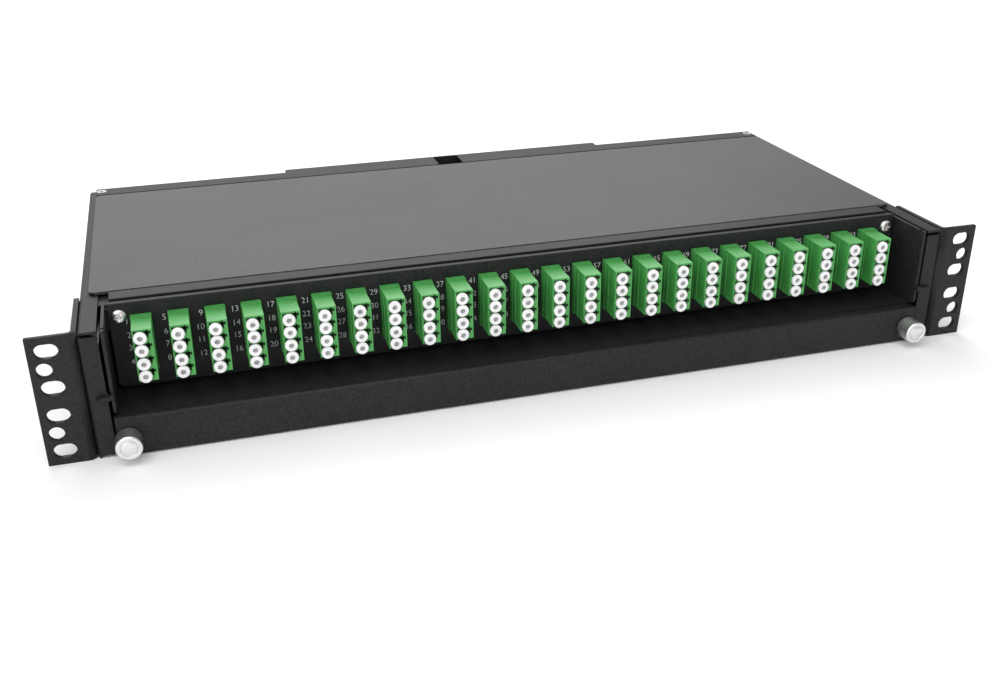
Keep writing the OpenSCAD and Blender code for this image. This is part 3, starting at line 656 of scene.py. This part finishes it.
def knob_face(radius):
    """Outline of a knob's front, from its middle over the ring groove to the start of the knurl."""
    outline = [(0, 0), (RING_INNER - RING_EDGE, 0), (RING_INNER, RING_EDGE), (RING_INNER, RING_DEPTH)]
    outline += [(RING_OUTER, RING_DEPTH), (RING_OUTER, RING_EDGE), (RING_OUTER + RING_EDGE, 0)]
    outline += [(radius - KNOB_EDGE - 0.1 * MM, 0), (radius - KNOB_EDGE, 0.05 * MM)]
    outline += [(radius - 0.12 * MM, KNOB_EDGE), (radius - KNURL_INSET, KNOB_EDGE + 0.15 * MM)]
    return outline


def knob_back(radius, end):
    """Outline from a knob's back edge over its boss and its grooved stud to the stud's end."""
    boss = KNOB_LENGTH + BOSS_LENGTH
    groove = end - STUD_GROOVE_FROM_END
    outline = [(radius - KNURL_INSET, KNOB_LENGTH - 0.5 * MM), (radius - 0.5 * MM, KNOB_LENGTH)]
    outline += [(BOSS_R, KNOB_LENGTH), (BOSS_R, boss), (STUD_R, boss), (STUD_R, groove)]
    outline += [(STUD_GROOVE_R, groove), (STUD_GROOVE_R, groove + STUD_GROOVE_WIDTH)]
    outline += [(STUD_R, groove + STUD_GROOVE_WIDTH), (STUD_R, end - STUD_POINT)]
    outline += [(STUD_R - STUD_POINT, end), (0, end)]
    return outline


def knurl_ring(radius, row):
    """Points (x, depth, z) around one row of the diamond knurl, which fades out at both ends."""
    first, last = KNOB_EDGE + KNURL_FRONT_GAP, KNOB_LENGTH - KNURL_BACK_GAP
    depth = first + (last - first) * row / KNURL_ROWS
    fade = min(1, row / 2, (KNURL_ROWS - row) / 2)
    slant = 2 * pi * (depth - first) / KNURL_PITCH
    points = []
    for column in range(KNOB_COLUMNS):
        angle = 2 * pi * column / KNOB_COLUMNS
        left = 0.5 + 0.5 * cos(KNURL_TEETH * angle + slant)
        right = 0.5 + 0.5 * cos(KNURL_TEETH * angle - slant)
        valley = KNURL_DEPTH * fade * (1 - (left * right) ** 0.5)
        height = radius - valley - KNURL_INSET * (1 - fade)
        points.append((height * cos(angle), depth, height * sin(angle)))
    return points


def join_rings(mesh, near, far):
    for i in range(len(near)):
        j = (i + 1) % len(near)
        mesh.faces.new((near[i], near[j], far[j], far[i]))


def make_knob(node):
    """A knob with a diamond-knurled side, a bright turned face with a ring groove, and its stud."""
    low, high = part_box(node)
    radius = (high.x - low.x) / 2
    mesh = bmesh.new()
    lathe(mesh, knob_face(radius), Vector(), KNOB_COLUMNS)
    near = list(mesh.verts)[-KNOB_COLUMNS:]
    for row in range(KNURL_ROWS + 1):
        far = [mesh.verts.new(point) for point in knurl_ring(radius, row)]
        join_rings(mesh, near, far)
        near = far
    known = len(mesh.verts)
    lathe(mesh, knob_back(radius, high.y - low.y), Vector(), KNOB_COLUMNS)
    join_rings(mesh, near, list(mesh.verts)[known:known + KNOB_COLUMNS])
    bmesh.ops.recalc_face_normals(mesh, faces=mesh.faces)
    place = face_centre(low, high)
    add_piece(f"{node}_finish", mesh, BODY_OF[node], SLOT_OF[node], at=place, replaces=(node,))


make_knob("thumb_knob_left")
make_knob("thumb_knob_right")

# ---- balls of the slides ----


BALL_SUBDIVISIONS = 4


def make_balls(node):
    mesh = bmesh.new()
    for low, high in solids_of(node):
        place = Matrix.Translation((low + high) / 2)
        radius = (high.x - low.x) / 2
        bmesh.ops.create_icosphere(mesh, subdivisions=BALL_SUBDIVISIONS, radius=radius, matrix=place)
    add_piece(f"{node}_finish", mesh, BODY_OF[node], SLOT_OF[node], replaces=(node,))


make_balls("slide_balls_left")
make_balls("slide_balls_right")

# ---- port numbers ----

DIGIT_HEIGHT = 2.9 * MM
DIGIT_NARROWING = 0.95
STROKE_OFFSET = -0.011  # thins the font's strokes, as a share of its size
NUMBER_GAP = 0.8 * MM
NUMBER_ROWS = tuple(z * MM for z in (55.5, 48.4, 42.0, 34.7))  # heights of their middles
INK_DEPTH = 0.03 * MM


def number_mesh(text):
    """A number flat on the XY plane, in the font's units, with its lower right corner at the origin."""
    curve = bpy.data.curves.new("number", "FONT")
    curve.body = text
    curve.align_x = "RIGHT"
    curve.resolution_u = 3
    curve.offset = STROKE_OFFSET
    curve.extrude = 0.5  # to each side, so that the depth is one unit
    thing = bpy.data.objects.new("number", curve)
    bpy.context.scene.collection.objects.link(thing)
    graph = bpy.context.evaluated_depsgraph_get()
    mesh = bmesh.new()
    mesh.from_mesh(thing.evaluated_get(graph).to_mesh())
    bpy.data.objects.remove(thing)
    bpy.data.curves.remove(curve)
    return mesh


def make_numbers():
    """Port numbers beside the adapters, counted down each column, as one thin layer of ink."""
    digit = number_mesh("8")
    scale = DIGIT_HEIGHT / max(v.co.y for v in digit.verts)
    digit.free()
    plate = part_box("adapter_plate")[0].y
    joined = bmesh.new()
    for column, node in enumerate(ADAPTERS):
        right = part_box(node)[0].x - NUMBER_GAP
        for row, z in enumerate(NUMBER_ROWS):
            number = number_mesh(str(4 * column + row + 1))
            for vert in number.verts:
                x, y, depth = vert.co
                vert.co = (
                    right + scale * x * DIGIT_NARROWING,
                    plate - INK_DEPTH * (0.5 + depth),
                    z - DIGIT_HEIGHT / 2 + scale * y,
                )
            data = bpy.data.meshes.new("number")
            number.to_mesh(data)
            number.free()
            joined.from_mesh(data)
            bpy.data.meshes.remove(data)
    bmesh.ops.recalc_face_normals(joined, faces=joined.faces)
    add_piece("port_numbers", joined, "drawer", "cap_white", material=INK)


make_numbers()

# ---- floor and light ----


FLOOR_HALF = 6
PAPER_CLOUDS = 40 * MM
LIGHTS_FACE = Vector((0, 0, 30)) * MM


def make_floor():
    mesh = bmesh.new()
    bmesh.ops.create_grid(mesh, x_segments=2, y_segments=2, size=FLOOR_HALF)
    data = bpy.data.meshes.new("floor")
    mesh.to_mesh(data)
    mesh.free()
    surface = Surface("pale_floor", specular=0.1)
    paper = surface.noise(PAPER_CLOUDS, 3)
    surface.colour(surface.ramp(paper, (0.3, (0.95, 0.95, 0.95)), (0.7, (0.97, 0.97, 0.97))))
    surface.roughness(surface.ramp(paper, (0.3, 0.85), (0.7, 0.95)))
    data.materials.append(surface.material)
    floor = bpy.data.objects.new("floor", data)
    bpy.context.scene.collection.objects.link(floor)


def add_softbox(name, at, power, width, height):
    """A large soft light that faces the middle of the panel, with its power in watts."""
    light = bpy.data.lights.new(name, "AREA")
    light.shape = "RECTANGLE"
    light.size = width
    light.size_y = height
    light.energy = power
    thing = bpy.data.objects.new(name, light)
    thing.location = at
    thing.rotation_euler = (LIGHTS_FACE - Vector(at)).to_track_quat("-Z", "Y").to_euler()
    bpy.context.scene.collection.objects.link(thing)


def light_studio():
    """A white surround that is dimmer on the right, with three large soft lights."""
    world = bpy.data.worlds.new("studio")
    world.use_nodes = True
    background = world.node_tree.nodes["Background"]
    background.inputs["Color"].default_value = (1, 1, 1, 1)
    nodes, links = world.node_tree.nodes, world.node_tree.links
    split = nodes.new("ShaderNodeSeparateXYZ")
    links.new(nodes.new("ShaderNodeTexCoord").outputs["Generated"], split.inputs["Vector"])
    side = nodes.new("ShaderNodeMapRange")
    for name, value in (("From Min", -0.3), ("From Max", 0.8), ("To Min", 0.9), ("To Max", 0.55)):
        side.inputs[name].default_value = value
    links.new(split.outputs["X"], side.inputs["Value"])
    links.new(side.outputs["Result"], background.inputs["Strength"])
    scene = bpy.context.scene
    scene.world = world
    scene.view_settings.view_transform = "Standard"
    add_softbox("top_back", (0.1, 1.1, 1.0), 12, 1.6, 0.9)
    add_softbox("top_front", (-0.3, -0.5, 1.3), 5, 1.4, 0.35)
    add_softbox("front_left", (-0.9, -1.3, 0.9), 5, 1.0, 1.0)


make_floor()
light_studio()

bpy.context.view_layer.update()
